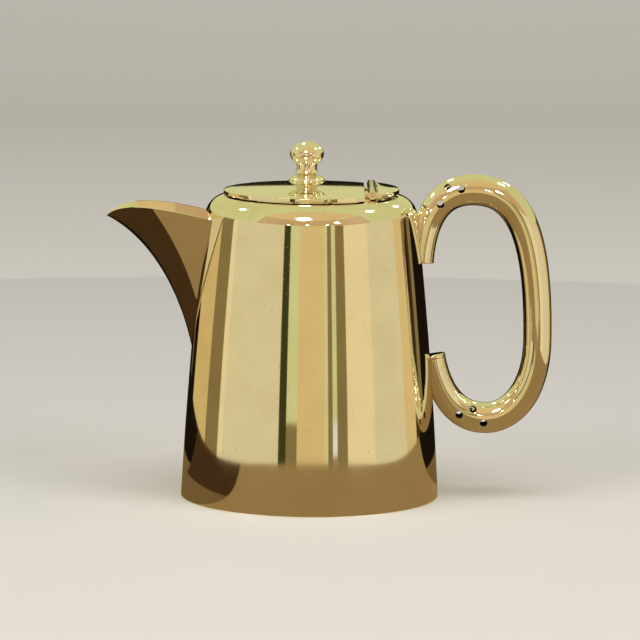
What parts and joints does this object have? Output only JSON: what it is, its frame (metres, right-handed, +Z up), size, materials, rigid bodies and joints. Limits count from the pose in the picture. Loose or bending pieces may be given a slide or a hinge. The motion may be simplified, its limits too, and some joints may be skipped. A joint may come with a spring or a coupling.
{
  "type": "lidded cream jug",
  "caption": "Tapered round jug with a hinged lid and knob, an open beak spout and a hollow C-shaped handle with vent holes.",
  "frame": {"origin": "centre of the round underside, on the surface the jug stands on", "axes": "+Z up, spout towards -X, handle towards +X, hinge pin along Y"},
  "size_m": [0.1304, 0.0756, 0.1045],
  "materials": {
    "silver": "mirror-polished silver plate with fine wear",
    "hinge_silver": "polished silver plate, slightly dulled at the joints",
    "fastener": "satin nickel silver"
  },
  "bodies": {
    "jug": {"body_shell": "silver", "base_plate": "silver", "spout": "silver", "handle_tube": "silver", "handle_cap_upper": "silver", "handle_cap_lower": "silver", "hinge_ear": "silver", "hinge_seat": "silver", "hinge_knuckles_fixed": "hinge_silver", "hinge_pin": "fastener"},
    "lid": {"lid_plate": "silver", "lid_flange": "silver", "knob": "silver", "knob_stud": "fastener", "knob_washer": "fastener", "knob_nut": "fastener", "hinge_knuckles_lid": "hinge_silver"}
  },
  "joints": [
    {"name": "lid_hinge", "type": "hinge", "parent": "jug", "child": "lid", "pos_m": [0.0176, 0, 0.0906], "axis": [0, 1, 0], "range_deg": [0, 105]}
  ]
}
